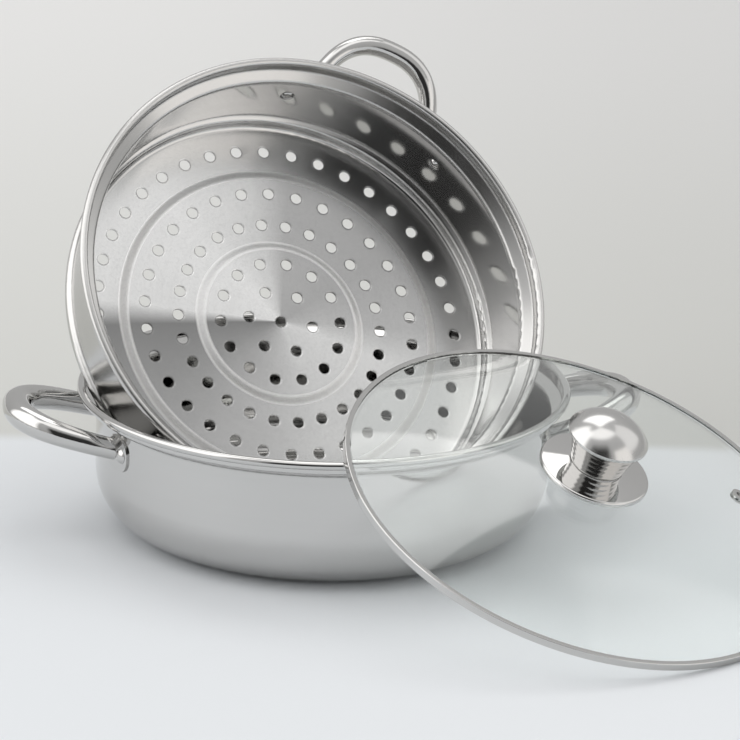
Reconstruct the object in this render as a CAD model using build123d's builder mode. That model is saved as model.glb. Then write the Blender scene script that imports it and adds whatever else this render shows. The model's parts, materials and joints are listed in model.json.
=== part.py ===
from build123d import *
import os
from math import asin, atan2, cos, degrees, hypot, radians, sin, sqrt, tan

# Steamer pot: a two-handled pot, a perforated steaming basket that leans in it,
# and a domed glass lid with a metal knob that leans on the pot.
# Origin at the middle of the pot's flat base, +Z up, handles of the pot along X.

# Overall sizes
rim_radius = 150.0
pot_height = 88.0
basket_depth = 71.5
sheet = 0.8
wall_inset = 11.7
overrun = 4.0
seat_gap = 0.3
fit_gap = 0.05

# Rolled rim, recess for the lid and the ledge under it
bead_radius = 2.5
recess_depth = 8.2
ledge_drop = 4.2
recess_corner = 1.6
ledge_corner = 2.2

# Pot body
pot_corner_radius = 36.0

# Basket body
lower_wall_inset = 1.7
basket_corner_radius = 4.2
stack_bead_reach = 4.2
stack_bead_depth = 61.5
stack_bead_height = 8.0
stack_bead_corner = 1.8
step_corner = 2.0
outer_step_share = 0.7577
outer_step_width = 4.5
outer_step_height = 2.1
inner_step_share = 0.3953
inner_step_width = 4.0
inner_step_height = 1.9
hole_radius = 3.5
hole_ring_shares = [0.8609, 0.6435, 0.4861, 0.2892, 0.153]
hole_ring_counts = [40, 30, 26, 14, 6]
hole_ring_turns = [1.0, -2.0, 4.4, -5.4, -14.1]

# Handle brackets and rivets, alike on both vessels
bracket_thickness = 1.2
bracket_width = 26.0
bracket_height = 21.0
bracket_corner = 9.0
pot_bracket_clearance = 3.1
basket_bracket_clearance = 6.1
bracket_spread = 46.1
rivet_spread = 52.0
rivet_shank_radius = 2.4
rivet_head_radius = 4.6
rivet_head_height = 2.2

# Pot handles
pot_handle_rise = 15.0
pot_handle_stand_off_share = 0.352
pot_handle_half_span = 40.0
pot_handle_radius = 8.6
pot_handle_end_radius = 6.4

# Basket handles
basket_handle_rise = 16.0
basket_handle_stand_off_share = 0.3015
basket_handle_half_span = 38.5
basket_handle_radius = 6.3
basket_handle_end_radius = 5.2
basket_handle_turn = -33.0
handle_squareness = 0.82
handle_swell = 1.5
handle_turns = [-90, -78, -64, -50, -34, -17, 0, 17, 34, 50, 64, 78, 90]

# Glass lid
lid_clearance = 0.4
lid_rise = 28.0
glass_thickness = 3.5
band_sheet = 0.6
band_width = 3.0
band_corner = 0.5
glass_hole_radius = 3.4

# Knob
knob_seat_radius = 12.5
upper_gasket_height = 4.0
lower_gasket_height = 1.6
base_plate_radius = 33.3
base_plate_edge = 1.8
base_plate_corner = 5.0
neck_radius = 15.8
neck_top_radius = 21.6
neck_height = 19.0
neck_ridges = 5
neck_ridge_height = 0.7
cap_radius = 24.2
cap_height = 15.0
cap_crown = 12.6
cap_edge_radius = 0.8
cap_under_drop = 0.6
screw_radius = 2.5
screw_head_radius = 5.0
screw_head_height = 3.0
screw_engagement = 9.0
screw_slot_width = 1.1
screw_slot_length = 5.6
screw_slot_depth = 1.6
washer_radius = 11.5
washer_thickness = 1.0

# Steam vent in the glass
vent_place_radius = 101.0
vent_place_turn = 65.0
vent_bore_radius = 2.3
vent_tube_radius = 3.3
vent_flange_radius = 5.2
vent_flange_thickness = 0.8

# How the basket stands in the pot and the lid leans on it
basket_heading = -73.6
basket_face_elevation = 39.2
lid_heading = -54.0
lid_foot_shares = (1.388, -1.682)

# Worked out from the sizes above
wall_radius = rim_radius - wall_inset
basket_lower_radius = wall_radius - lower_wall_inset
stack_bead_radius = basket_lower_radius + stack_bead_reach
outer_step_radius = outer_step_share * basket_lower_radius
inner_step_radius = inner_step_share * basket_lower_radius
pot_handle_reach = wall_radius * (1 + pot_handle_stand_off_share)
basket_handle_reach = wall_radius * (1 + basket_handle_stand_off_share)
recess_radius = rim_radius - 2 * bead_radius
lid_radius = recess_radius - lid_clearance
bracket_inner_radius = wall_radius + fit_gap
bracket_outer_radius = bracket_inner_radius + bracket_thickness
bracket_angle = degrees(asin(bracket_spread / bracket_outer_radius))
rivet_angle = degrees(asin(rivet_spread / bracket_outer_radius))
glass_radius = lid_radius - band_sheet - fit_gap
flat_radius = lid_radius - band_width - 1.5 * band_sheet
glass_low = band_sheet + fit_gap
glass_high = glass_low + glass_thickness
band_height = glass_high + fit_gap + band_sheet
dome_rise = lid_rise - glass_high
dome_radius = (flat_radius**2 + dome_rise**2) / (2 * dome_rise)
dome_inner_radius = dome_radius - glass_thickness
dome_centre = lid_rise - dome_radius
ledge_depth = recess_depth + ledge_drop
pot_handle_foot_height = pot_height - ledge_depth - pot_bracket_clearance - bracket_height / 2
basket_handle_foot_depth = ledge_depth + basket_bracket_clearance + bracket_height / 2


def in_plan(angle):
    """The level direction at an angle from the X axis."""
    return Vector(cos(radians(angle)), sin(radians(angle)), 0)


def tilted_frame(origin, heading, elevation):
    """A plane whose normal leans to a heading and whose x runs down the slope."""
    level = in_plan(heading)
    normal = level * cos(radians(elevation)) + Vector(0, 0, 1) * sin(radians(elevation))
    down = level * sin(radians(elevation)) - Vector(0, 0, 1) * cos(radians(elevation))
    return Plane(origin=origin, x_dir=down, z_dir=normal)


def outward(frame, turn):
    """The direction away from a frame's axis, turned about it."""
    return frame.x_dir * cos(radians(turn)) + frame.y_dir * sin(radians(turn))


def axis_of(frame):
    """The line through a frame's origin along its normal."""
    return Axis(frame.origin, frame.z_dir)


def radial_plane(frame, turn=0, height=0):
    """A plane through a frame's axis: x goes outward and y along the axis."""
    out = outward(frame, turn)
    return Plane(frame.origin + frame.z_dir * height, x_dir=out, z_dir=out.cross(frame.z_dir))


def facing_plane(frame, turn, height):
    """A plane on a frame's axis that faces outward, with its y along the axis."""
    out = outward(frame, turn)
    return Plane(frame.origin + frame.z_dir * height, x_dir=frame.z_dir.cross(out), z_dir=out)


def glass_height(radius):
    """The height of the glass dome's outside above the lid's plane at a radius."""
    return dome_centre + sqrt(dome_radius**2 - radius**2)


def glass_under(radius):
    """The height of the glass dome's inside above the lid's plane at a radius."""
    return dome_centre + sqrt(dome_inner_radius**2 - radius**2)


def loop_point(half_span, foot, reach, rise, turn):
    """A point on a handle's middle line: outward, across and up from its feet."""
    bulge = max(cos(radians(turn)), 0) ** handle_squareness
    side = 1 if turn > 0 else -1
    across = side * half_span * abs(sin(radians(turn))) ** handle_squareness
    return foot + (reach - foot) * bulge, across, rise * bulge


pot_frame = Plane.XY
stack_slope = stack_bead_height / 4
stack_turn = atan2(stack_bead_radius - basket_lower_radius, stack_slope)
stack_corner_low = stack_bead_depth + stack_bead_height / 2 - stack_slope
stack_corner_depth = stack_corner_low - stack_bead_corner * tan(stack_turn / 2)
bottom_corner_depth = basket_depth - basket_corner_radius


def basket_frame_at(setback):
    """The basket's rim plane, its body resting on the pot's floor, set back from the axis."""
    lean = radians(basket_face_elevation)
    reach_down = max(
        corner + depth * sin(lean) + (radius - corner) * cos(lean)
        for radius, corner, depth in (
            (basket_lower_radius, basket_corner_radius, bottom_corner_depth),
            (stack_bead_radius, stack_bead_corner, stack_corner_depth),
        )
    )
    centre = in_plan(basket_heading) * -setback + Vector(0, 0, sheet + seat_gap + reach_down)
    return tilted_frame(centre, basket_heading, basket_face_elevation)


def pot_inside_radius(height):
    """The inside radius of the pot at a height, from its floor to its rim."""
    below_rim = pot_height - height
    if height < pot_corner_radius:
        inner_corner = pot_corner_radius - sheet
        drop = min(pot_corner_radius - height, inner_corner)
        return wall_radius - pot_corner_radius + sqrt(inner_corner**2 - drop**2)
    if below_rim > ledge_depth:
        return wall_radius - sheet
    if below_rim > recess_depth:
        slope = (ledge_depth - below_rim) / ledge_drop
        return wall_radius - sheet + slope * (recess_radius - wall_radius + sheet)
    return recess_radius


def basket_gap(setback):
    """The least gap between the leaning basket's sides and the pot's mouth."""
    frame = basket_frame_at(setback)
    gaps = []
    for radius, depth in (
        (wall_radius, stack_bead_depth - stack_bead_height / 2),
        (stack_bead_radius, stack_corner_low - stack_bead_height / 2),
        (stack_bead_radius, stack_corner_low),
        (basket_lower_radius, stack_bead_depth + stack_bead_height / 2),
        (basket_lower_radius, bottom_corner_depth),
    ):
        for turn in range(360):
            point = frame.origin + outward(frame, turn) * radius - frame.z_dir * depth
            if pot_corner_radius < point.Z < pot_height:
                gaps.append(pot_inside_radius(point.Z) - hypot(point.X, point.Y))
    return min(gaps)


def wedged_setback():
    """How far back the basket leans before its sides reach the pot's mouth."""
    near, far = 0, wall_radius / 2
    for _ in range(30):
        middle = (near + far) / 2
        if basket_gap(middle) < seat_gap:
            far = middle
        else:
            near = middle
    return near


basket_frame = basket_frame_at(wedged_setback())


def handle_point(turn, station):
    """A point on the middle line of a basket handle at a turn about the basket's axis."""
    out, across, up = loop_point(
        basket_handle_half_span, wall_radius, basket_handle_reach, basket_handle_rise, station
    )
    away = outward(basket_frame, turn)
    side = basket_frame.z_dir.cross(away)
    height = up - basket_handle_foot_depth
    return basket_frame.origin + away * out + side * across + basket_frame.z_dir * height


def lower_handle_gap(turn):
    """The least gap between the basket's lower handle and the pot around it."""
    gaps = []
    for station in handle_turns:
        point = handle_point(turn, station)
        if point.Z < pot_height:
            gaps.append(pot_inside_radius(point.Z) - hypot(point.X, point.Y))
        gaps.append(point.Z - sheet)
    return min(gaps) - basket_handle_radius


def clear_basket_turn():
    """The turn of the basket's handles, nearest to the wanted one, that clears the pot."""
    for step in range(90):
        for turn in (basket_handle_turn - step, basket_handle_turn + step):
            if lower_handle_gap(turn) > seat_gap:
                return turn
    return basket_handle_turn


basket_turn = clear_basket_turn()


def lid_frame_at(tilt):
    """The lid's plane when its lowest edge is on the table and it is tilted."""
    foot = Vector(lid_foot_shares[0] * rim_radius, lid_foot_shares[1] * rim_radius, 0)
    lean = radians(tilt)
    edge = lid_radius - band_corner
    height = edge * sin(lean) + band_corner * (1 - cos(lean))
    centre = foot - in_plan(lid_heading) * (edge * cos(lean)) + Vector(0, 0, height)
    return tilted_frame(centre, lid_heading, 90 - tilt)


def leaning_obstacles():
    """Points with a radius on what the lid could touch: rims and a handle."""
    points = []
    for turn in range(0, 360, 2):
        out = outward(pot_frame, turn) * (rim_radius - bead_radius)
        points.append((out + Vector(0, 0, pot_height - bead_radius), bead_radius))
        out = outward(basket_frame, turn) * (rim_radius - bead_radius)
        points.append((basket_frame.origin + out - basket_frame.z_dir * bead_radius, bead_radius))
    for turn in range(-80, 81, 4):
        out, across, up = loop_point(
            pot_handle_half_span, wall_radius, pot_handle_reach, pot_handle_rise, turn
        )
        points.append((Vector(out, across, pot_handle_foot_height + up), pot_handle_radius))
    return points


def lid_gap(tilt, obstacles):
    """The least gap between the leaning lid and what is under it."""
    frame = lid_frame_at(tilt)
    gaps = []
    for point, radius in obstacles:
        local = frame.to_local_coords(point)
        out = hypot(local.X, local.Y)
        past_edge = max(out - lid_radius, flat_radius - out, 0)
        past_face = max(local.Z - band_height, -local.Z, 0)
        gap = hypot(past_edge, past_face)
        if out < flat_radius:
            gap = min(gap, dome_inner_radius - hypot(out, local.Z - dome_centre))
        gaps.append(gap - radius)
    return min(gaps)


def lean_tilt():
    """The least tilt at which the leaning lid touches nothing."""
    obstacles = leaning_obstacles()
    low, high = 10.0, 45.0
    for _ in range(30):
        middle = (low + high) / 2
        if lid_gap(middle, obstacles) < seat_gap:
            low = middle
        else:
            high = middle
    return high


lid_frame = lid_frame_at(lean_tilt())


def rim_path(top):
    """The outer line of the ledge and the recess wall, up to the rolled bead."""
    return [
        (wall_radius, top - ledge_depth),
        (recess_radius + sheet, top - recess_depth),
        (recess_radius + sheet, top - bead_radius),
    ]


def bracket(frame, turn, height):
    """A rounded plate that lies on a vessel's wall, with its rivet hole."""
    with BuildPart() as plate:
        with BuildSketch(facing_plane(frame, turn, height).offset(wall_radius - overrun)):
            RectangleRounded(bracket_width, bracket_height, bracket_corner)
        extrude(amount=2 * overrun)
        with BuildSketch(frame.offset(height - bracket_height)):
            Circle(bracket_outer_radius)
            Circle(bracket_inner_radius, mode=Mode.SUBTRACT)
        extrude(amount=2 * bracket_height, mode=Mode.INTERSECT)
    return plate.part


def drilled_bracket(frame, handle_turn, side, height):
    """A bracket beside a handle's foot, drilled for its rivet."""
    with BuildPart() as drilled:
        add(bracket(frame, handle_turn + side * bracket_angle, height))
        with BuildSketch(facing_plane(frame, handle_turn + side * rivet_angle, height)):
            Circle(rivet_shank_radius + fit_gap)
        extrude(amount=rim_radius, mode=Mode.SUBTRACT)
    return drilled.part


def rivet(frame, turn, height):
    """A rivet through a vessel's wall and a bracket, with a low dome each side."""
    inner_seat = sqrt((wall_radius - sheet) ** 2 - rivet_head_radius**2)
    outer_seat = bracket_outer_radius + fit_gap
    plane = radial_plane(frame, turn, height)
    ball = (rivet_head_radius**2 + rivet_head_height**2) / (2 * rivet_head_height)
    half = asin(rivet_head_radius / ball) / 2
    low, high = inner_seat - rivet_head_height, outer_seat + rivet_head_height
    with BuildPart() as pin:
        with BuildSketch(plane):
            with BuildLine():
                ThreePointArc(
                    (low, 0), (low + ball - ball * cos(half), ball * sin(half)),
                    (inner_seat, rivet_head_radius),
                )
                Polyline(
                    (inner_seat, rivet_head_radius), (inner_seat, rivet_shank_radius),
                    (outer_seat, rivet_shank_radius), (outer_seat, rivet_head_radius),
                )
                ThreePointArc(
                    (outer_seat, rivet_head_radius),
                    (high - ball + ball * cos(half), ball * sin(half)), (high, 0),
                )
                Line((high, 0), (low, 0))
            make_face()
        revolve(axis=Axis(plane.origin, plane.x_dir))
    return pin.part


def loop_handle(frame, turn, foot_height, half_span, reach, rise, mid_radius, end_radius):
    """A tube bent to a loop, thick in the middle, its ends cut to the brackets."""
    plane = Plane(frame.origin + frame.z_dir * foot_height, x_dir=outward(frame, turn), z_dir=frame.z_dir)
    foot = sqrt(bracket_outer_radius**2 - half_span**2) - overrun
    with BuildPart() as handle:
        for station in handle_turns:
            here = plane.from_local_coords(Vector(*loop_point(half_span, foot, reach, rise, station)))
            before = Vector(*loop_point(half_span, foot, reach, rise, station - 1))
            after = Vector(*loop_point(half_span, foot, reach, rise, station + 1))
            along = plane.from_local_coords(after) - plane.from_local_coords(before)
            if station in (handle_turns[0], handle_turns[-1]):
                along = plane.x_dir * (-1 if station > 0 else 1)
            swell = max(cos(radians(station)), 0) ** handle_swell
            radius = end_radius + (mid_radius - end_radius) * swell
            with BuildSketch(Plane(here, x_dir=frame.z_dir.cross(along), z_dir=along)):
                Circle(radius)
        loft()
        with BuildSketch(plane.offset(-bracket_height)):
            Circle(bracket_outer_radius)
        extrude(amount=2 * bracket_height + rise, mode=Mode.SUBTRACT)
    return handle.part


def finish_node(part, name):
    """Label a piece and write it to its own file."""
    part.label = name
    export_step(part, f"parts/{name}.step")


os.makedirs("parts", exist_ok=True)

# Pot body: one drawn sheet with a round corner, a ledge, a recess and a rolled bead
with BuildPart() as pot_shell:
    with BuildSketch(radial_plane(pot_frame)) as pot_profile:
        with BuildLine() as pot_line:
            FilletPolyline(
                (0, 0), (wall_radius, 0), *rim_path(pot_height),
                radius=[pot_corner_radius, ledge_corner, recess_corner],
            )
            offset(amount=sheet, side=Side.LEFT)
        make_face()
        with Locations((rim_radius - bead_radius, pot_height - bead_radius)):
            Circle(bead_radius)
    revolve(axis=axis_of(pot_frame))
    for handle_side in (0, 180):
        for foot_side in (-1, 1):
            hole_turn = handle_side + foot_side * rivet_angle
            with BuildSketch(facing_plane(pot_frame, hole_turn, pot_handle_foot_height)):
                Circle(rivet_shank_radius + fit_gap)
            extrude(amount=rim_radius, mode=Mode.SUBTRACT)
finish_node(pot_shell.part, "pot_shell")

for side_name, handle_side in (("right", 0), ("left", 180)):
    handle_part = loop_handle(
        pot_frame, handle_side, pot_handle_foot_height, pot_handle_half_span,
        pot_handle_reach, pot_handle_rise, pot_handle_radius, pot_handle_end_radius,
    )
    finish_node(handle_part, f"pot_handle_{side_name}")
    for foot_name, foot_side in (("front", -1), ("rear", 1)):
        flip = foot_side if handle_side == 0 else -foot_side
        bracket_part = drilled_bracket(pot_frame, handle_side, flip, pot_handle_foot_height)
        finish_node(bracket_part, f"pot_bracket_{side_name}_{foot_name}")

with BuildPart() as pot_rivets:
    for handle_side in (0, 180):
        for foot_side in (-1, 1):
            add(rivet(pot_frame, handle_side + foot_side * rivet_angle, pot_handle_foot_height))
finish_node(pot_rivets.part, "pot_rivets")

# Basket body: wall with a stacking bead, stepped floor with rings of steam holes
outer_floor = -basket_depth
middle_floor = outer_floor + outer_step_height
inner_floor = middle_floor + inner_step_height
stack_low = -stack_bead_depth - stack_bead_height / 2
stack_high = -stack_bead_depth + stack_bead_height / 2

with BuildPart() as basket_shell:
    with BuildSketch(radial_plane(basket_frame)) as basket_profile:
        with BuildLine() as basket_line:
            FilletPolyline(
                (0, inner_floor),
                (inner_step_radius - inner_step_width, inner_floor),
                (inner_step_radius, middle_floor),
                (outer_step_radius - outer_step_width, middle_floor),
                (outer_step_radius, outer_floor),
                (basket_lower_radius, outer_floor),
                (basket_lower_radius, stack_low),
                (stack_bead_radius, stack_low + stack_slope),
                (stack_bead_radius, stack_high - stack_slope),
                (wall_radius, stack_high),
                *rim_path(0),
                radius=[
                    step_corner, step_corner, step_corner, step_corner, basket_corner_radius,
                    stack_bead_corner, stack_bead_corner, stack_bead_corner, stack_bead_corner,
                    ledge_corner, recess_corner,
                ],
            )
            offset(amount=sheet, side=Side.LEFT)
        make_face()
        with Locations((rim_radius - bead_radius, -bead_radius)):
            Circle(bead_radius)
    revolve(axis=axis_of(basket_frame))
    with BuildSketch(basket_frame.offset(outer_floor - overrun)):
        Circle(hole_radius)
        for ring_share, ring_count, ring_turn in zip(
            hole_ring_shares, hole_ring_counts, hole_ring_turns
        ):
            ring_radius = ring_share * basket_lower_radius
            with PolarLocations(ring_radius, ring_count, start_angle=180 - ring_turn):
                Circle(hole_radius)
    extrude(amount=outer_step_height + inner_step_height + 2 * overrun, mode=Mode.SUBTRACT)
    for handle_side in (0, 180):
        for foot_side in (-1, 1):
            hole_turn = basket_turn + handle_side + foot_side * rivet_angle
            with BuildSketch(facing_plane(basket_frame, hole_turn, -basket_handle_foot_depth)):
                Circle(rivet_shank_radius + fit_gap)
            extrude(amount=rim_radius, mode=Mode.SUBTRACT)
finish_node(basket_shell.part, "basket_shell")

for handle_name, handle_side in (("lower", 0), ("upper", 180)):
    handle_turn = basket_turn + handle_side
    handle_part = loop_handle(
        basket_frame, handle_turn, -basket_handle_foot_depth, basket_handle_half_span,
        basket_handle_reach, basket_handle_rise, basket_handle_radius, basket_handle_end_radius,
    )
    finish_node(handle_part, f"basket_handle_{handle_name}")
    left_side = -1 if handle_name == "lower" else 1
    for foot_name, foot_side in (("left", left_side), ("right", -left_side)):
        bracket_part = drilled_bracket(
            basket_frame, handle_turn, foot_side, -basket_handle_foot_depth
        )
        finish_node(bracket_part, f"basket_bracket_{handle_name}_{foot_name}")

with BuildPart() as basket_rivets:
    for handle_side in (0, 180):
        for foot_side in (-1, 1):
            hole_turn = basket_turn + handle_side + foot_side * rivet_angle
            add(rivet(basket_frame, hole_turn, -basket_handle_foot_depth))
finish_node(basket_rivets.part, "basket_rivets")

# Lid: a glass dome with a flat edge, held by a folded metal band
lid_section = radial_plane(lid_frame)
flat_inner_radius = sqrt(dome_inner_radius**2 - (glass_low - dome_centre) ** 2)
vent_out = outward(lid_frame, vent_place_turn)
vent_point = lid_frame.from_local_coords(Vector(0, 0, glass_height(vent_place_radius)))
vent_point += vent_out * vent_place_radius
vent_normal = vent_point - lid_frame.from_local_coords(Vector(0, 0, dome_centre))
vent_frame = Plane(vent_point, x_dir=lid_frame.z_dir.cross(vent_out), z_dir=vent_normal)

with BuildPart() as lid_glass:
    with BuildSketch(lid_section):
        with BuildLine():
            ThreePointArc(
                (glass_hole_radius, glass_height(glass_hole_radius)),
                (flat_radius / 2, glass_height(flat_radius / 2)),
                (flat_radius, glass_high),
            )
            Polyline(
                (flat_radius, glass_high), (glass_radius, glass_high),
                (glass_radius, glass_low), (flat_inner_radius, glass_low),
            )
            ThreePointArc(
                (flat_inner_radius, glass_low),
                (flat_radius / 2, glass_under(flat_radius / 2)),
                (glass_hole_radius, glass_under(glass_hole_radius)),
            )
            Line(
                (glass_hole_radius, glass_under(glass_hole_radius)),
                (glass_hole_radius, glass_height(glass_hole_radius)),
            )
        make_face()
    revolve(axis=axis_of(lid_frame))
    with BuildSketch(vent_frame.offset(-overrun - glass_thickness)):
        Circle(vent_tube_radius + fit_gap)
    extrude(amount=2 * overrun + glass_thickness, mode=Mode.SUBTRACT)
finish_node(lid_glass.part, "lid_glass")

with BuildPart() as lid_rim_band:
    with BuildSketch(lid_section) as band_section:
        with Locations((lid_radius, band_height / 2)):
            Rectangle(band_width, band_height, align=(Align.MAX, Align.CENTER))
        fillet(band_section.vertices().group_by(Axis.X)[-1], band_corner)
        with Locations((lid_radius - band_sheet, band_height / 2)):
            Rectangle(
                band_width, band_height - 2 * band_sheet,
                align=(Align.MAX, Align.CENTER), mode=Mode.SUBTRACT,
            )
    revolve(axis=axis_of(lid_frame))
finish_node(lid_rim_band.part, "lid_rim_band")

# Steam vent: a flanged metal eyelet through the glass
with BuildPart() as vent_eyelet:
    with BuildSketch(radial_plane(vent_frame)):
        under = -glass_thickness - fit_gap
        with BuildLine():
            Polyline(
                (vent_bore_radius, under - vent_flange_thickness),
                (vent_flange_radius, under - vent_flange_thickness),
                (vent_flange_radius, under), (vent_tube_radius, under),
                (vent_tube_radius, 0), (vent_flange_radius, 0),
                (vent_flange_radius, vent_flange_thickness),
                (vent_bore_radius, vent_flange_thickness), close=True,
            )
        make_face()
    revolve(axis=axis_of(vent_frame))
finish_node(vent_eyelet.part, "vent_eyelet")

# Knob, from the glass up: gasket, base plate, grooved neck and cap
upper_gasket_low = glass_height(glass_hole_radius)
base_plate_low = upper_gasket_low + upper_gasket_height
base_plate_flat = neck_radius + sheet
base_plate_foot = glass_height(base_plate_radius - sheet) + seat_gap
neck_low = base_plate_low + sheet
neck_high = neck_low + neck_height
cap_high = neck_high + cap_height
bore_radius = screw_radius + fit_gap


def stack_ring(low, high, radius):
    """A flat ring on the lid's axis, bored for the knob's screw."""
    with BuildPart() as ring:
        with BuildSketch(lid_frame.offset(low)):
            Circle(radius)
            Circle(bore_radius, mode=Mode.SUBTRACT)
        extrude(amount=high - low)
    return ring.part


finish_node(stack_ring(upper_gasket_low, base_plate_low, knob_seat_radius), "knob_gasket_upper")

with BuildPart() as knob_base_plate:
    with BuildSketch(lid_section):
        with BuildLine():
            FilletPolyline(
                (bore_radius, base_plate_low), (base_plate_flat, base_plate_low),
                (base_plate_radius - sheet, base_plate_foot + base_plate_edge),
                (base_plate_radius - sheet, base_plate_foot),
                radius=[base_plate_corner, sheet],
            )
            offset(amount=sheet, side=Side.LEFT)
        make_face()
    revolve(axis=axis_of(lid_frame))
finish_node(knob_base_plate.part, "knob_base_plate")

with BuildPart() as knob_neck:
    with BuildSketch(lid_section):
        ridge_step = neck_height / neck_ridges
        flare_step = (neck_top_radius - neck_radius) / neck_ridges
        with BuildLine():
            Line((bore_radius, neck_low), (neck_radius, neck_low))
            for ridge in range(neck_ridges):
                ridge_radius = neck_radius + ridge * flare_step
                ridge_low = neck_low + ridge * ridge_step
                ThreePointArc(
                    (ridge_radius, ridge_low),
                    (ridge_radius + neck_ridge_height, ridge_low + ridge_step / 2),
                    (ridge_radius + flare_step, ridge_low + ridge_step),
                )
            Polyline(
                (neck_top_radius, neck_high), (bore_radius, neck_high), (bore_radius, neck_low)
            )
        make_face()
    revolve(axis=axis_of(lid_frame))
finish_node(knob_neck.part, "knob_neck")

with BuildPart() as knob_cap:
    with BuildSketch(lid_section) as cap_section:
        crown_radius = (cap_radius**2 + cap_crown**2) / (2 * cap_crown)
        crown_middle = cap_high - crown_radius + sqrt(crown_radius**2 - (cap_radius / 2) ** 2)
        with BuildLine():
            Polyline(
                (0, cap_high), (0, neck_high), (neck_top_radius, neck_high),
                (cap_radius, neck_high + cap_under_drop), (cap_radius, cap_high - cap_crown),
            )
            ThreePointArc(
                (cap_radius, cap_high - cap_crown), (cap_radius / 2, crown_middle), (0, cap_high)
            )
        make_face()
        fillet(cap_section.vertices().group_by(Axis.X)[-1], cap_edge_radius)
    revolve(axis=axis_of(lid_frame))
    with BuildSketch(lid_frame.offset(neck_high)):
        Circle(bore_radius)
    extrude(amount=screw_engagement + fit_gap, mode=Mode.SUBTRACT)
finish_node(knob_cap.part, "knob_cap")

# Under the glass: gasket, washer and the screw that holds the knob
lower_gasket_high = glass_under(knob_seat_radius)
washer_high = lower_gasket_high - lower_gasket_height
head_high = washer_high - washer_thickness

finish_node(stack_ring(washer_high, lower_gasket_high, knob_seat_radius), "knob_gasket_lower")
finish_node(stack_ring(head_high, washer_high, washer_radius), "knob_washer")

with BuildPart() as knob_screw:
    with BuildSketch(lid_frame.offset(head_high - screw_head_height)):
        Circle(screw_head_radius)
    extrude(amount=screw_head_height)
    with BuildSketch(lid_frame.offset(head_high)):
        Circle(screw_radius)
    extrude(amount=neck_high + screw_engagement - head_high)
    with BuildSketch(lid_frame.offset(head_high - screw_head_height)):
        Rectangle(screw_slot_length, screw_slot_width)
        Rectangle(screw_slot_width, screw_slot_length)
    extrude(amount=screw_slot_depth, mode=Mode.SUBTRACT)
finish_node(knob_screw.part, "knob_screw")
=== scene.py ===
"""Looks of a steamer pot: a polished pot, a perforated basket and a domed glass lid."""

import json
import logging
import math
from dataclasses import dataclass
from enum import Enum

import bpy
from mathutils import Matrix, Vector

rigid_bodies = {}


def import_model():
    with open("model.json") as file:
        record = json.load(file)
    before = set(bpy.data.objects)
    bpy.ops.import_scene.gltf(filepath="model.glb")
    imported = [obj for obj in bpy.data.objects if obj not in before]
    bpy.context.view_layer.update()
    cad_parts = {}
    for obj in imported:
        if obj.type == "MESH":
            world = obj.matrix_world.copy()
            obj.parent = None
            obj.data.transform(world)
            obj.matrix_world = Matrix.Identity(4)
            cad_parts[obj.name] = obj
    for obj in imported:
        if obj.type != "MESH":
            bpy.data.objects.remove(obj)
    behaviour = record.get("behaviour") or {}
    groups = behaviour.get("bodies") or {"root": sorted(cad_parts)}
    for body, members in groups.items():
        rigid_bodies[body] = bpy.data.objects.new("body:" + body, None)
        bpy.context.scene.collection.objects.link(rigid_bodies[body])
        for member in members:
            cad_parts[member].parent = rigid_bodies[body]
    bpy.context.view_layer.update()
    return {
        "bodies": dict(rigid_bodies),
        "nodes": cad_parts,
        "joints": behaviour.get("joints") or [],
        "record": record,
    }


LOG = logging.getLogger("steamer_pot")

# A colour is red, green and blue. A noise kind is its scale, detail and roughness.
Colour = tuple[float, float, float]
Triple = tuple[float, float, float]
NoiseKind = tuple[float, float, float]
Pair = tuple[float, float]

STEEL: Colour = (0.61, 0.605, 0.595)
BLACK: Colour = (0.0, 0.0, 0.0)

# Between these levels of its noise, handling haze goes from none to full.
HAZE_RANGE: Pair = (0.35, 0.75)

# The height of a fine relief in metres, and how finely a rounded edge is sampled.
RELIEF_HEIGHT = 0.0002
EDGE_SAMPLES = 6

# A Mix node keeps the sockets of every data type: these are its factor and its two
# colours, and the mixed colour.
MIX_INPUTS = (0, 6, 7)
MIX_OUTPUT = 2


class Node(Enum):
    """The kinds of shader node that the finishes use."""

    COORDS = "ShaderNodeTexCoord"
    MAPPING = "ShaderNodeMapping"
    NOISE = "ShaderNodeTexNoise"
    MATH = "ShaderNodeMath"
    VECTOR_MATH = "ShaderNodeVectorMath"
    RANGE = "ShaderNodeMapRange"
    RAMP = "ShaderNodeValToRGB"
    MIX = "ShaderNodeMix"
    SEPARATE = "ShaderNodeSeparateXYZ"
    COMBINE = "ShaderNodeCombineXYZ"
    BUMP = "ShaderNodeBump"
    SOFT_EDGE = "ShaderNodeBevel"
    GROUP = "ShaderNodeGroup"
    PATH = "ShaderNodeLightPath"
    MIX_SHADER = "ShaderNodeMixShader"
    CLEAR = "ShaderNodeBsdfTransparent"
    GROUP_IN = "NodeGroupInput"
    GROUP_OUT = "NodeGroupOutput"


class Gloss(Enum):
    """How polished a steel is, as its roughness where it is clean and where it is hazy."""

    ROD = (0.02, 0.06)
    PLATE = (0.02, 0.05)
    BAND = (0.03, 0.08)
    SHEET = (0.035, 0.10)
    NECK = (0.05, 0.09)
    WALL = (0.05, 0.10)
    PRESSED = (0.05, 0.12)
    FASTENER = (0.10, 0.22)
    CAP = (0.17, 0.24)


def opaque(colour: Colour, share: float = 1.0) -> tuple[float, float, float, float]:
    """A colour at a share of its level, with full alpha."""
    red, green, blue = colour
    return red * share, green * share, blue * share, 1.0


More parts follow.
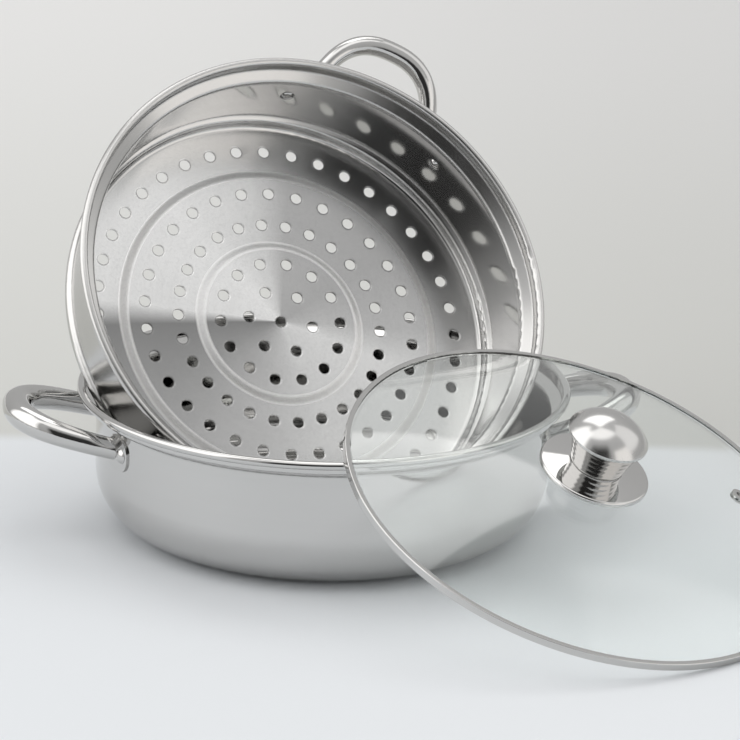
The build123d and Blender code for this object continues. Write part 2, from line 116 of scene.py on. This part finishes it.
class Graph:
    """A node tree with short ways to add and join its nodes."""

    def __init__(self, tree: bpy.types.NodeTree) -> None:
        """Takes the tree to work on."""
        self.tree = tree

    def add(self, kind: Node, **settings: object) -> bpy.types.Node:
        """Adds a node and sets its own properties.

        Args:
            kind: The kind of node.
            settings: Property names and their values.

        Returns:
            The new node.
        """
        node = self.tree.nodes.new(kind.value)
        for name, value in settings.items():
            setattr(node, name, value)
        return node

    def feed(self, socket: bpy.types.NodeSocket, value: object) -> None:
        """Links a socket to another socket, or sets it to a plain value.

        Args:
            socket: The input socket.
            value: An output socket, a number or a sequence.
        """
        if isinstance(value, bpy.types.NodeSocket):
            self.tree.links.new(value, socket)
        else:
            socket.default_value = value

    def fill(self, node: bpy.types.Node, values: dict[str, object]) -> bpy.types.Node:
        """Feeds a node's inputs by name.

        Args:
            node: The node.
            values: Input names and their values.

        Returns:
            The same node.
        """
        for name, value in values.items():
            self.feed(node.inputs[name], value)
        return node

    def math(self, operation: str, *values: object) -> bpy.types.NodeSocket:
        """A Math node.

        Args:
            operation: The operation's name.
            values: Its inputs, sockets or numbers.

        Returns:
            Its output.
        """
        node = self.add(Node.MATH, operation=operation)
        for socket, value in zip(node.inputs, values):
            self.feed(socket, value)
        return node.outputs[0]

    def vector(self, operation: str, *values: object) -> bpy.types.NodeSocket:
        """A Vector Math node that measures.

        Args:
            operation: The operation's name.
            values: Its inputs, sockets or vectors.

        Returns:
            The number it gives.
        """
        node = self.add(Node.VECTOR_MATH, operation=operation)
        for socket, value in zip(node.inputs, values):
            self.feed(socket, value)
        return node.outputs["Value"]

    def smooth(self, value: object, low: float, high: float,
               start: float = 0.0, end: float = 1.0) -> bpy.types.NodeSocket:
        """A smooth step of a value from one range to another.

        Args:
            value: The socket or number to map.
            low: Where the step starts.
            high: Where it ends.
            start: The result below it.
            end: The result above it.

        Returns:
            The stepped value.
        """
        node = self.add(Node.RANGE, interpolation_type="SMOOTHSTEP")
        self.fill(node, {"Value": value, "From Min": low, "From Max": high,
                         "To Min": start, "To Max": end})
        return node.outputs[0]

    def mix(self, factor: object, first: object, second: object) -> bpy.types.NodeSocket:
        """A mix of two colours.

        Args:
            factor: The share of the second colour.
            first: A colour or socket.
            second: A colour or socket.

        Returns:
            The mixed colour.
        """
        node = self.add(Node.MIX, data_type="RGBA")
        for index, value in zip(MIX_INPUTS, (factor, first, second)):
            self.feed(node.inputs[index], value)
        return node.outputs[MIX_OUTPUT]

    def noise(self, vector: object, scale: object, detail: float,
              roughness: float) -> bpy.types.NodeSocket:
        """A Noise texture's value.

        Args:
            vector: Where it is read.
            scale: How fine it is.
            detail: How many finer layers it has.
            roughness: How strong those are.

        Returns:
            The noise from 0 to 1.
        """
        node = self.fill(self.add(Node.NOISE), {
            "Vector": vector, "Scale": scale, "Detail": detail, "Roughness": roughness})
        return node.outputs["Fac"]

    def separate(self, vector: object) -> tuple[bpy.types.NodeSocket, ...]:
        """Splits a vector.

        Args:
            vector: The vector.

        Returns:
            Its x, y and z.
        """
        node = self.add(Node.SEPARATE)
        self.feed(node.inputs[0], vector)
        return tuple(node.outputs)

    def combine(self, *values: object) -> bpy.types.NodeSocket:
        """Joins numbers to a vector.

        Args:
            values: Its x, y and z.

        Returns:
            The vector.
        """
        node = self.add(Node.COMBINE)
        for socket, value in zip(node.inputs, values):
            self.feed(socket, value)
        return node.outputs[0]

    def mapped(self, kind: str, **values: object) -> bpy.types.NodeSocket:
        """A Mapping node.

        Args:
            kind: POINT to move the vector, TEXTURE to move what it reads.
            values: Its Vector, Location, Rotation and Scale.

        Returns:
            The mapped vector.
        """
        return self.fill(self.add(Node.MAPPING, vector_type=kind), values).outputs[0]

    def place(self, group: bpy.types.NodeTree, **values: object) -> bpy.types.Node:
        """Places a node group and sets its inputs.

        Args:
            group: The group.
            values: Input names, with _ for a space, and their values.

        Returns:
            The group's node.
        """
        named = {name.replace("_", " "): value for name, value in values.items()}
        return self.fill(self.add(Node.GROUP, node_tree=group), named)

    def relief(self, height: object, strength: float,
               soft_edge: float = 0.0) -> bpy.types.NodeSocket:
        """A fine relief, on edges whose shading may be rounded first.

        Args:
            height: The relief's height.
            strength: How much of it shows.
            soft_edge: The radius of the rounding in metres, 0 for none.

        Returns:
            The normal.
        """
        node = self.fill(self.add(Node.BUMP), {
            "Strength": strength, "Distance": RELIEF_HEIGHT, "Height": height})
        if soft_edge > 0.0:
            edge = self.add(Node.SOFT_EDGE, samples=EDGE_SAMPLES)
            self.feed(edge.inputs["Radius"], soft_edge)
            self.feed(node.inputs["Normal"], edge.outputs[0])
        return node.outputs[0]


def new_group(name: str, inputs: dict[str, object], outputs: tuple[str, ...]) -> tuple[
        bpy.types.NodeTree, Graph, dict[str, bpy.types.NodeSocket], bpy.types.Node]:
    """Starts a shader node group.

    Args:
        name: Its name.
        inputs: Input names with their usual values, None for a vector.
        outputs: The names of its values.

    Returns:
        The group, its graph, its input sockets by name and its output node.
    """
    group = bpy.data.node_groups.new(name, "ShaderNodeTree")
    for label, value in inputs.items():
        kind = "NodeSocketVector" if value is None else "NodeSocketFloat"
        socket = group.interface.new_socket(label, in_out="INPUT", socket_type=kind)
        if value is not None:
            socket.default_value = value
    for label in outputs:
        group.interface.new_socket(label, in_out="OUTPUT", socket_type="NodeSocketFloat")
    graph = Graph(group)
    start, end = graph.add(Node.GROUP_IN), graph.add(Node.GROUP_OUT)
    given = {socket.name: socket for socket in start.outputs}
    return group, graph, given, end


@dataclass(frozen=True)
class TurnedLines:
    """Fine lines round the Z axis, as a lathe or a polishing wheel leaves them."""

    density: float = 400.0
    fine: NoiseKind = (1.0, 4.0, 0.7)
    broad: NoiseKind = (0.12, 2.0, 0.5)

    def build(self) -> bpy.types.NodeTree:
        """Builds the node group.

        Returns:
            The group: a Vector and a Density in, a Height and a Shade out.
        """
        group, graph, given, end = new_group(
            "turned_lines", {"Vector": None, "Density": self.density}, ("Height", "Shade"))
        x, y, z = graph.separate(given["Vector"])
        radius = graph.math("SQRT", graph.math("ADD", graph.math("MULTIPLY", x, x),
                                               graph.math("MULTIPLY", y, y)))
        place = graph.combine(graph.math("MULTIPLY", radius, given["Density"]),
                              graph.math("MULTIPLY", z, given["Density"]), 0.0)
        fine = graph.noise(place, *self.fine)
        broad = graph.noise(place, *self.broad)
        graph.fill(end, {"Height": fine, "Shade": graph.math("MULTIPLY", fine, broad)})
        return group


@dataclass(frozen=True)
class HandledMarks:
    """Cloudy haze and a few hair scratches, as handling leaves them."""

    haze_scale: float = 22.0
    haze_layers: Pair = (4.0, 0.6)
    hair_turns: tuple[float, ...] = (0.5, -0.9, 1.7)
    hair_offsets: tuple[float, ...] = (0.0, 3.1, 7.7)
    turn_shares: Triple = (1.0, 0.6, 1.3)
    hair_stretch: Triple = (6.0, 260.0, 260.0)
    hair: NoiseKind = (1.0, 1.0, 0.4)
    hair_range: Pair = (0.70, 0.78)

    def build(self) -> bpy.types.NodeTree:
        """Builds the node group.

        Returns:
            The group: a Vector and a Haze Scale in, a Haze and a Scratch out.
        """
        group, graph, given, end = new_group(
            "handled_marks", {"Vector": None, "Haze Scale": self.haze_scale},
            ("Haze", "Scratch"))
        haze = graph.noise(given["Vector"], given["Haze Scale"], *self.haze_layers)
        lines: object = 0.0
        for turn, offset in zip(self.hair_turns, self.hair_offsets):
            place = graph.mapped("POINT", Vector=given["Vector"], Location=(offset,) * 3,
                                 Rotation=tuple(turn * share for share in self.turn_shares),
                                 Scale=self.hair_stretch)
            hair = graph.smooth(graph.noise(place, *self.hair), *self.hair_range)
            lines = graph.math("ADD", lines, hair)
        graph.fill(end, {"Haze": haze, "Scratch": graph.math("MINIMUM", lines, 1.0)})
        return group


@dataclass(frozen=True)
class ShopEffects:
    """The marks that making and handling leave, as shared node groups."""

    turned: bpy.types.NodeTree
    handled: bpy.types.NodeTree

    @classmethod
    def build(cls) -> "ShopEffects":
        """Builds every group once."""
        return cls(turned=TurnedLines().build(), handled=HandledMarks().build())


@dataclass(frozen=True)
class PartFrame:
    """Where a round piece sits: the middle of its rim, its axis and its down direction."""

    centre: Triple = (0.0, 0.0, 0.0)
    axis: Triple = (0.0, 0.0, 1.0)
    down: Triple = (1.0, 0.0, 0.0)

    def matrix(self) -> Matrix:
        """The piece's own x, y and z as columns."""
        axis, down = Vector(self.axis).normalized(), Vector(self.down).normalized()
        return Matrix((down, axis.cross(down), axis)).transposed()

    def coords(self, graph: Graph) -> bpy.types.NodeSocket:
        """Object coordinates turned and centred on the piece.

        Args:
            graph: The material's graph.

        Returns:
            The coordinates in metres.
        """
        source = graph.add(Node.COORDS).outputs["Object"]
        turn = tuple(self.matrix().to_euler())
        return graph.mapped("TEXTURE", Vector=source, Location=self.centre, Rotation=turn)


def new_material(name: str) -> tuple[bpy.types.Material, Graph, bpy.types.Node]:
    """Starts a material.

    Args:
        name: Its name.

    Returns:
        The material, its graph and its Principled node.
    """
    material = bpy.data.materials.new(name)
    material.use_nodes = True
    graph = Graph(material.node_tree)
    return material, graph, material.node_tree.nodes["Principled BSDF"]


@dataclass(frozen=True)
class PolishedSteel:
    """Polished steel with turned lines, haze and hair scratches."""

    name: str
    seat: PartFrame = PartFrame()
    gloss: Gloss = Gloss.SHEET
    colour: Colour = STEEL
    line_share: float = 0.93
    line_bump: float = 0.0
    scratch_blur: float = 0.10
    soft_edge: float = 0.0

    def build(self, effects: ShopEffects) -> bpy.types.Material:
        """Builds the material.

        Args:
            effects: The shared node groups.

        Returns:
            The material.
        """
        material, graph, shader = new_material(self.name)
        coords = self.seat.coords(graph)
        lines = graph.place(effects.turned, Vector=coords)
        marks = graph.place(effects.handled, Vector=coords)
        haze = graph.smooth(marks.outputs["Haze"], *HAZE_RANGE, *self.gloss.value)
        scratch = graph.math("MULTIPLY", marks.outputs["Scratch"], self.scratch_blur)
        tone = graph.mix(lines.outputs["Shade"], opaque(self.colour),
                         opaque(self.colour, self.line_share))
        graph.fill(shader, {
            "Metallic": 1.0,
            "Base Color": tone,
            "Roughness": graph.math("ADD", haze, scratch),
            "Normal": graph.relief(lines.outputs["Height"], self.line_bump, self.soft_edge),
        })
        return material


@dataclass(frozen=True)
class BasketPlace:
    """Where a point of the basket is, in its own seat, and how far it counts as floor."""

    coords: bpy.types.NodeSocket
    x: bpy.types.NodeSocket
    y: bpy.types.NodeSocket
    radius: bpy.types.NodeSocket
    floor: bpy.types.NodeSocket
    step: bpy.types.NodeSocket


@dataclass(frozen=True)
class BasketSteel:
    """Polished walls and a floor of rougher steel, with a painted sheen in bright and dark
    sectors round the axis, and a painted highlight on its pressed steps.

    Depths and radii are metres from the middle of the rim. A stop of the painted sheen is a share
    of the turn round the axis and the level, bright or dark, that the painted sheen gives the
    floor there.
    """

    name: str
    seat: PartFrame
    colour: Colour = STEEL
    gloss: Gloss = Gloss.WALL
    floor_depth: float = 0.0655
    floor_radius: float = 0.1335
    floor_fade: float = 0.002
    floor_blur: float = 0.17
    # The floor's painted sheen: bright and dark sectors of painted reflection, fixed by the turn
    # round the axis.
    painted_sheen_turn: float = math.radians(-9.0)
    painted_sheen_stops: tuple[Pair, ...] = (
        (0.0, 0.60), (0.09, 0.50), (0.225, 0.52), (0.27, 0.76), (0.36, 0.96), (0.485, 0.93),
        (0.507, 0.28), (0.57, 0.38), (0.66, 0.54), (0.74, 0.66), (0.80, 0.78), (0.95, 0.84),
        (1.0, 0.60),
    )
    painted_sheen_warmth: float = 0.995
    step_middles: Pair = (0.10125, 0.052)
    step_reach: float = 0.0018
    # A painted highlight on the pressed steps: a near-white tone at this share over the floor's
    # colour.
    painted_step_highlight: Colour = (0.97, 0.97, 0.965)
    painted_step_highlight_share: float = 0.85
    step_blur: float = 0.30
    rim_radius: float = 0.1385
    rim_width: float = 0.0015
    rim_blur: float = 0.13
    line_density: float = 900.0
    line_shade: float = 0.20
    line_bump: float = 0.05
    grain: NoiseKind = (620.0, 2.0, 0.7)
    grain_range: Pair = (0.42, 0.72)
    grain_shade: float = 0.07
    shade_tone: Colour = (0.2, 0.2, 0.2)
    soft_edge: float = 0.0018

    def floor_mask(self, graph: Graph, depth: object, radius: object) -> bpy.types.NodeSocket:
        """Where the basket's floor is, from 0 to 1.

        Args:
            graph: The material's graph.
            depth: The height over the rim's plane.
            radius: The distance from the basket's axis.

        Returns:
            The mask.
        """
        fade = self.floor_fade
        deep = graph.smooth(depth, -self.floor_depth, -self.floor_depth + fade, 1.0, 0.0)
        inside = graph.smooth(radius, self.floor_radius - fade, self.floor_radius, 1.0, 0.0)
        return graph.math("MULTIPLY", deep, inside)

    def step_mask(self, graph: Graph, radius: object) -> bpy.types.NodeSocket:
        """Where the pressed steps of the floor are, from 0 to 1.

        Args:
            graph: The material's graph.
            radius: The distance from the basket's axis.

        Returns:
            The mask.
        """
        mask: object = 0.0
        for middle in self.step_middles:
            away = graph.math("ABSOLUTE", graph.math("SUBTRACT", radius, middle))
            ring = graph.smooth(away, self.step_reach, self.step_reach * 2.0, 1.0, 0.0)
            mask = graph.math("MAXIMUM", mask, ring)
        return mask

    def locate(self, graph: Graph) -> BasketPlace:
        """Finds where a point is on the basket.

        Args:
            graph: The material's graph.

        Returns:
            Its coordinates and masks.
        """
        coords = self.seat.coords(graph)
        x, y, z = graph.separate(coords)
        radius = graph.vector("LENGTH", graph.combine(x, y, 0.0))
        return BasketPlace(coords, x, y, radius, floor=self.floor_mask(graph, z, radius),
                           step=self.step_mask(graph, radius))

    def painted_sheen_sectors(self, graph: Graph, place: BasketPlace) -> bpy.types.NodeSocket:
        """The floor's painted sheen, in sectors by the turn round the basket's axis.

        Args:
            graph: The material's graph.
            place: Where the point is.

        Returns:
            The painted sheen's colour.
        """
        # Painted sheen and painted shade by angle round the axis, written into the base colour.
        angle = graph.math("ARCTAN2", graph.math("MULTIPLY", place.x, -1.0), place.y)
        turn = graph.math("DIVIDE", graph.math("SUBTRACT", angle, self.painted_sheen_turn), math.tau)
        node = graph.add(Node.RAMP)
        graph.feed(node.inputs[0], graph.math("FRACT", turn))
        stops = node.color_ramp.elements
        while len(stops) < len(self.painted_sheen_stops):
            stops.new(0.5)
        for stop, (position, level) in zip(stops, self.painted_sheen_stops):
            stop.position = position
            stop.color = (level, level, level * self.painted_sheen_warmth, 1.0)
        return node.outputs[0]

    def tone(self, graph: Graph, place: BasketPlace,
             lines: bpy.types.Node) -> bpy.types.NodeSocket:
        """The steel's colour with its painted sheen sectors, the painted highlight on its pressed
        steps, lines and grain.

        Args:
            graph: The material's graph.
            place: Where the point is.
            lines: The turned lines.

        Returns:
            The colour.
        """
        # The pressed steps get a painted highlight over the floor's painted sheen.
        step = graph.math("MULTIPLY", place.step, self.painted_step_highlight_share)
        painted_floor_sheen = graph.mix(step, self.painted_sheen_sectors(graph, place), opaque(self.painted_step_highlight))
        # Only the floor carries the painted sheen and the painted highlight; the walls keep the
        # plain steel colour.
        tone = graph.mix(place.floor, opaque(self.colour), painted_floor_sheen)
        grain = graph.math("MULTIPLY", graph.noise(place.coords, *self.grain), place.floor)
        shade = graph.math("ADD", graph.math("MULTIPLY", lines.outputs["Shade"], self.line_shade),
                           graph.smooth(grain, *self.grain_range, 0.0, self.grain_shade))
        return graph.mix(shade, tone, opaque(self.shade_tone))

    def roughness(self, graph: Graph, place: BasketPlace,
                  marks: bpy.types.Node) -> bpy.types.NodeSocket:
        """How rough the steel is: more on the floor, its steps and the rolled rim.

        Args:
            graph: The material's graph.
            place: Where the point is.
            marks: The marks of handling.

        Returns:
            The roughness.
        """
        haze = graph.smooth(marks.outputs["Haze"], *HAZE_RANGE, *self.gloss.value)
        rough = graph.math("MULTIPLY_ADD", place.floor, self.floor_blur, haze)
        rolled = graph.smooth(place.radius, self.rim_radius - self.rim_width, self.rim_radius,
                              0.0, self.rim_blur)
        step = graph.math("MULTIPLY", place.step, place.floor)
        pressed = graph.math("MULTIPLY", step, self.step_blur)
        return graph.math("ADD", graph.math("ADD", rough, rolled), pressed)

    def build(self, effects: ShopEffects) -> bpy.types.Material:
        """Builds the material.

        Args:
            effects: The shared node groups.

        Returns:
            The material.
        """
        material, graph, shader = new_material(self.name)
        place = self.locate(graph)
        lines = graph.place(effects.turned, Vector=place.coords, Density=self.line_density)
        marks = graph.place(effects.handled, Vector=place.coords)
        height = graph.math("MULTIPLY", lines.outputs["Height"], place.floor)
        graph.fill(shader, {
            "Metallic": 1.0,
            "Base Color": self.tone(graph, place, lines),
            "Roughness": self.roughness(graph, place, marks),
            "Normal": graph.relief(height, self.line_bump, self.soft_edge),
        })
        return material


@dataclass(frozen=True)
class ClearGlass:
    """Tempered glass whose shadow stays clear."""

    name: str
    colour: Colour = (0.975, 0.99, 0.985)
    haze_shares: Colour = (0.965, 0.985, 0.975)
    index: float = 1.5

    def build(self, effects: ShopEffects) -> bpy.types.Material:
        """Builds the material.

        Args:
            effects: The shared node groups.

        Returns:
            The material.
        """
        material, graph, shader = new_material(self.name)
        coords = graph.add(Node.COORDS).outputs["Object"]
        marks = graph.place(effects.handled, Vector=coords)
        thick = tuple(level * share for level, share in zip(self.colour, self.haze_shares))
        graph.fill(shader, {
            "Transmission Weight": 1.0,
            "IOR": self.index,
            "Roughness": 0.0,
            "Base Color": graph.mix(marks.outputs["Haze"], opaque(self.colour), opaque(thick)),
        })
        mix = graph.add(Node.MIX_SHADER)
        shadow = graph.add(Node.PATH).outputs["Is Shadow Ray"]
        clear = graph.add(Node.CLEAR).outputs[0]
        for socket, value in zip(mix.inputs, (shadow, shader.outputs[0], clear)):
            graph.feed(socket, value)
        graph.feed(material.node_tree.nodes["Material Output"].inputs["Surface"], mix.outputs[0])
        return material


@dataclass(frozen=True)
class Rubber:
    """Dark silicone of the knob's gaskets."""

    name: str
    colour: Colour = (0.12, 0.12, 0.118)
    dark_share: float = 0.85
    cloud_scale: float = 60.0
    cloud_range: Pair = (0.2, 0.8)
    rough: Pair = (0.45, 0.65)

    def build(self, effects: ShopEffects) -> bpy.types.Material:
        """Builds the material.

        Args:
            effects: The shared node groups.

        Returns:
            The material.
        """
        material, graph, shader = new_material(self.name)
        coords = graph.add(Node.COORDS).outputs["Object"]
        cloud = graph.place(effects.handled, Vector=coords,
                            Haze_Scale=self.cloud_scale).outputs["Haze"]
        graph.fill(shader, {
            "Base Color": graph.mix(cloud, opaque(self.colour),
                                    opaque(self.colour, self.dark_share)),
            "Roughness": graph.smooth(cloud, *self.cloud_range, *self.rough),
        })
        return material


@dataclass(frozen=True)
class StudioCamera:
    """A long lens that looks down on the pot from the front."""

    place: Triple = (-0.40267, -2.57515, 0.93586)
    heading: float = math.radians(9.5)
    pitch: float = 0.311303
    roll: float = 0.029165
    lens: float = 218.919
    sensor: float = 36.0
    near: float = 0.1
    far: float = 30.0

    def axes(self) -> tuple[Vector, Vector, Vector]:
        """Works out how the camera is turned.

        Returns:
            Its right, up and forward directions.
        """
        level = Vector((math.sin(self.heading), math.cos(self.heading), 0.0))
        forward = level * math.cos(self.pitch) - Vector((0.0, 0.0, math.sin(self.pitch)))
        right = Vector((math.cos(self.heading), -math.sin(self.heading), 0.0))
        up = right.cross(forward)
        turn, lift = math.cos(self.roll), math.sin(self.roll)
        return right * turn + up * lift, up * turn - right * lift, forward

    def build(self) -> None:
        """Makes the camera and gives it to the scene."""
        data = bpy.data.cameras.new("studio_camera")
        data.lens, data.sensor_width = self.lens, self.sensor
        data.clip_start, data.clip_end = self.near, self.far
        camera = bpy.data.objects.new("studio_camera", data)
        right, up, forward = self.axes()
        turn = Matrix((right, up, -forward)).transposed().to_4x4()
        camera.matrix_world = Matrix.Translation(Vector(self.place)) @ turn
        bpy.context.scene.collection.objects.link(camera)
        bpy.context.scene.camera = camera


@dataclass(frozen=True)
class LightPanel:
    """A patch of the studio's surroundings, by bearing from the front and by height.

    All but the level and the warmth are degrees. The warmth is the blue's share of the red.
    """

    left: float
    right: float
    low: float
    high: float
    level: float
    edge: float = 4.0
    warmth: float = 0.985
    top_edge: float = 4.0

    def colour(self) -> Colour:
        """The panel's light."""
        green = self.level * (1.0 + self.warmth) / 2.0
        return self.level, green, self.level * self.warmth

    def mask(self, graph: Graph, bearing: object, height: object) -> bpy.types.NodeSocket:
        """How much the panel covers a direction, from 0 to 1.

        Args:
            graph: The world's graph.
            bearing: The direction's bearing in degrees.
            height: Its height in degrees.

        Returns:
            The mask.
        """
        edge, top = self.edge, self.top_edge
        value, *others = (
            graph.smooth(bearing, self.left - edge, self.left),
            graph.smooth(bearing, self.right, self.right + edge, 1.0, 0.0),
            graph.smooth(height, self.low - edge, self.low),
            graph.smooth(height, self.high, self.high + top, 1.0, 0.0))
        for other in others:
            value = graph.math("MULTIPLY", value, other)
        return value


@dataclass(frozen=True)
class Studio:
    """A plain pale floor with a plain backdrop, and soft light."""

    reach: float = 14.0
    front_colour: Colour = (0.78, 0.805, 0.83)
    back_low: Colour = (0.65, 0.655, 0.632)
    back_high: Colour = (0.76, 0.76, 0.755)
    back_fade: float = 1.3
    right_shade: float = 0.14
    shade_range: Pair = (-0.35, 0.40)
    floor_rough: float = 0.6
    floor_shine: float = 0.1
    edge_point: Triple = (0.05363, 0.14337, 0.0)
    edge_heading: float = math.radians(-6.95)
    edge_blur: float = 0.012
    view_heading: float = math.radians(9.5)
    ramp_low: Colour = (0.50, 0.50, 0.495)
    ramp_high: Colour = (0.69, 0.69, 0.69)
    ramp_heights: Pair = (-10.0, 90.0)
    panels: tuple[LightPanel, ...] = (
        LightPanel(-70.0, 66.0, 65.0, 100.0, 1.5, 9.0),
        LightPanel(-30.0, 8.0, 0.0, 30.0, 0.04, 11.0, top_edge=25.0),
        LightPanel(30.0, 66.0, -10.0, 28.0, 1.25, 7.0, 0.95),
        LightPanel(-118.0, -62.0, 12.0, 66.0, 1.8, 12.0, top_edge=10.0),
        LightPanel(68.0, 112.0, 18.0, 60.0, 1.1, 6.0),
        LightPanel(138.0, 181.0, 50.0, 84.0, 2.0, 2.0),
        LightPanel(-190.0, -150.0, 50.0, 84.0, 2.0, 2.0),
    )

    def floor_tone(self, graph: Graph) -> bpy.types.NodeSocket:
        """The floor's colour: pale in front, and fading as a backdrop behind.

        Args:
            graph: The floor's graph.

        Returns:
            The colour.
        """
        coords = graph.add(Node.COORDS).outputs["Object"]
        inward = (-math.sin(self.edge_heading), math.cos(self.edge_heading), 0.0)
        offset = Vector(inward).dot(Vector(self.edge_point))
        behind = graph.math("SUBTRACT", graph.vector("DOT_PRODUCT", coords, inward), offset)
        across = (math.cos(self.view_heading), -math.sin(self.view_heading), 0.0)
        side = graph.smooth(graph.vector("DOT_PRODUCT", coords, across),
                            *self.shade_range, 0.0, self.right_shade)
        fade = graph.smooth(behind, 0.0, self.back_fade)
        back = graph.mix(fade, opaque(self.back_low), opaque(self.back_high))
        back = graph.mix(side, back, opaque(BLACK))
        past = graph.smooth(behind, -self.edge_blur, self.edge_blur)
        return graph.mix(past, opaque(self.front_colour), back)

    def build_floor(self) -> None:
        """A flat floor that carries the part and its shadow."""
        bpy.ops.object.select_all(action="DESELECT")
        bpy.ops.mesh.primitive_plane_add(size=self.reach)
        floor = bpy.context.object
        floor.name = "studio_floor"
        material, graph, shader = new_material("studio_floor")
        graph.fill(shader, {"Base Color": self.floor_tone(graph),
                            "Roughness": self.floor_rough,
                            "Specular IOR Level": self.floor_shine})
        floor.data.materials.append(material)

    def light_tone(self, graph: Graph) -> bpy.types.NodeSocket:
        """The light as the part sees it: a soft ramp by height, and the panels on it.

        Args:
            graph: The world's graph.

        Returns:
            The colour.
        """
        x, y, z = graph.separate(graph.add(Node.COORDS).outputs["Generated"])
        bearing = graph.math("DEGREES", graph.math("ARCTAN2", x, graph.math("MULTIPLY", y, -1.0)))
        height = graph.math("DEGREES", graph.math("ARCSINE", z))
        ramp = graph.add(Node.RAMP)
        graph.feed(ramp.inputs[0], graph.smooth(height, *self.ramp_heights))
        for stop, colour in zip(ramp.color_ramp.elements, (self.ramp_low, self.ramp_high)):
            stop.color = opaque(colour)
        tone = ramp.outputs[0]
        for panel in self.panels:
            cover = panel.mask(graph, bearing, height)
            tone = graph.mix(cover, tone, opaque(panel.colour()))
        return tone

    def build_light(self) -> None:
        """The world: the light for the part, and a plain backdrop for the camera."""
        world = bpy.data.worlds.new("studio_light")
        bpy.context.scene.world = world
        world.use_nodes = True
        graph = Graph(world.node_tree)
        seen = graph.add(Node.PATH).outputs["Is Camera Ray"]
        tone = graph.mix(seen, self.light_tone(graph), opaque(self.back_high))
        graph.fill(world.node_tree.nodes["Background"], {"Color": tone, "Strength": 1.0})

    def build(self) -> None:
        """Builds the floor and the light, and sets the plain view."""
        self.build_floor()
        self.build_light()
        bpy.context.scene.view_settings.view_transform = "Standard"


@dataclass(frozen=True)
class SubAssembly:
    """Pieces that move together, each with its finish."""

    def dress_nodes(self, frame: dict, names: tuple[str, ...],
                    material: bpy.types.Material) -> None:
        """Gives CAD nodes their material.

        Args:
            names: The nodes.
            material: Their finish.
        """
        for name in names:
            node = frame["nodes"][name]
            node.data.materials.clear()
            node.data.materials.append(material)
            LOG.info("%s dressed in %s", name, material.name)


@dataclass(frozen=True)
class Pot(SubAssembly):
    """The drawn pot with its two loop handles."""

    height: float = 0.088
    line_bump: float = 0.01
    shell: tuple[str, ...] = ("pot_shell",)
    rods: tuple[str, ...] = ("pot_handle_left", "pot_handle_right")
    brackets: tuple[str, ...] = ("pot_bracket_left_front", "pot_bracket_left_rear",
                                 "pot_bracket_right_front", "pot_bracket_right_rear",
                                 "pot_rivets")

    def dress(self, frame: dict, effects: ShopEffects) -> None:
        """Dresses the shell, the handles and what holds them.

        Args:
            effects: The shared node groups.
        """
        seat = PartFrame((0.0, 0.0, self.height))
        for names, finish in (
                (self.shell, PolishedSteel("pot_polish", seat, line_bump=self.line_bump)),
                (self.rods, PolishedSteel("pot_rod_polish", gloss=Gloss.ROD)),
                (self.brackets, PolishedSteel("pot_bracket_polish", gloss=Gloss.PRESSED))):
            self.dress_nodes(frame, names, finish.build(effects))


@dataclass(frozen=True)
class Basket(SubAssembly):
    """The perforated steaming basket that leans in the pot, with its two loop handles."""

    rim_middle: Triple = (-0.00365, 0.01241, 0.15044)
    axis: Triple = (0.218799, -0.743415, 0.632029)
    down: Triple = (0.178448, -0.606315, -0.774944)
    shell: tuple[str, ...] = ("basket_shell",)
    rods: tuple[str, ...] = ("basket_handle_upper", "basket_handle_lower")
    brackets: tuple[str, ...] = ("basket_bracket_upper_left", "basket_bracket_upper_right",
                                 "basket_bracket_lower_left", "basket_bracket_lower_right",
                                 "basket_rivets")

    def dress(self, frame: dict, effects: ShopEffects) -> None:
        """Dresses the shell, the handles and what holds them.

        Args:
            effects: The shared node groups.
        """
        seat = PartFrame(self.rim_middle, self.axis, self.down)
        for names, finish in (
                (self.shell, BasketSteel("basket_steel", seat)),
                (self.rods, PolishedSteel("basket_rod_polish", seat, Gloss.ROD)),
                (self.brackets, PolishedSteel("basket_bracket_polish", seat, Gloss.PRESSED))):
            self.dress_nodes(frame, names, finish.build(effects))


@dataclass(frozen=True)
class Lid(SubAssembly):
    """The domed glass lid with its steel band, vent and turned knob."""

    rim_middle: Triple = (0.13013, -0.14485, 0.05594)
    axis: Triple = (0.227574, -0.313229, 0.922008)
    down: Triple = (0.541942, -0.74592, -0.387172)
    line_bump: float = 0.01
    neck_edge: float = 0.0012
    glass: tuple[str, ...] = ("lid_glass",)
    band: tuple[str, ...] = ("lid_rim_band", "vent_eyelet")
    plate: tuple[str, ...] = ("knob_base_plate",)
    neck: tuple[str, ...] = ("knob_neck",)
    cap: tuple[str, ...] = ("knob_cap",)
    fasteners: tuple[str, ...] = ("knob_screw", "knob_washer")
    gaskets: tuple[str, ...] = ("knob_gasket_upper", "knob_gasket_lower")

    def dress(self, frame: dict, effects: ShopEffects) -> None:
        """Dresses the glass, the band, the knob and what holds it.

        Args:
            effects: The shared node groups.
        """
        seat = PartFrame(self.rim_middle, self.axis, self.down)
        bump = self.line_bump
        for names, finish in (
                (self.glass, ClearGlass("lid_glass")),
                (self.band, PolishedSteel("band_polish", seat, Gloss.BAND)),
                (self.plate, PolishedSteel("plate_polish", seat, Gloss.PLATE, line_bump=bump)),
                (self.neck, PolishedSteel("neck_polish", seat, Gloss.NECK, line_bump=bump,
                                          soft_edge=self.neck_edge)),
                (self.cap, PolishedSteel("cap_polish", seat, Gloss.CAP, line_bump=bump)),
                (self.fasteners, PolishedSteel("fastener_steel", seat, Gloss.FASTENER)),
                (self.gaskets, Rubber("knob_rubber"))):
            self.dress_nodes(frame, names, finish.build(effects))


def main() -> None:
    """Dresses every sub-assembly and builds the studio round them."""
    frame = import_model()
    StudioCamera().build()
    effects = ShopEffects.build()
    for part in (Pot(), Basket(), Lid()):
        part.dress(frame, effects)
        LOG.info("%s is dressed", type(part).__name__)
    Studio().build()


if __name__ == "__main__":
    logging.basicConfig(level=logging.INFO)
    main()
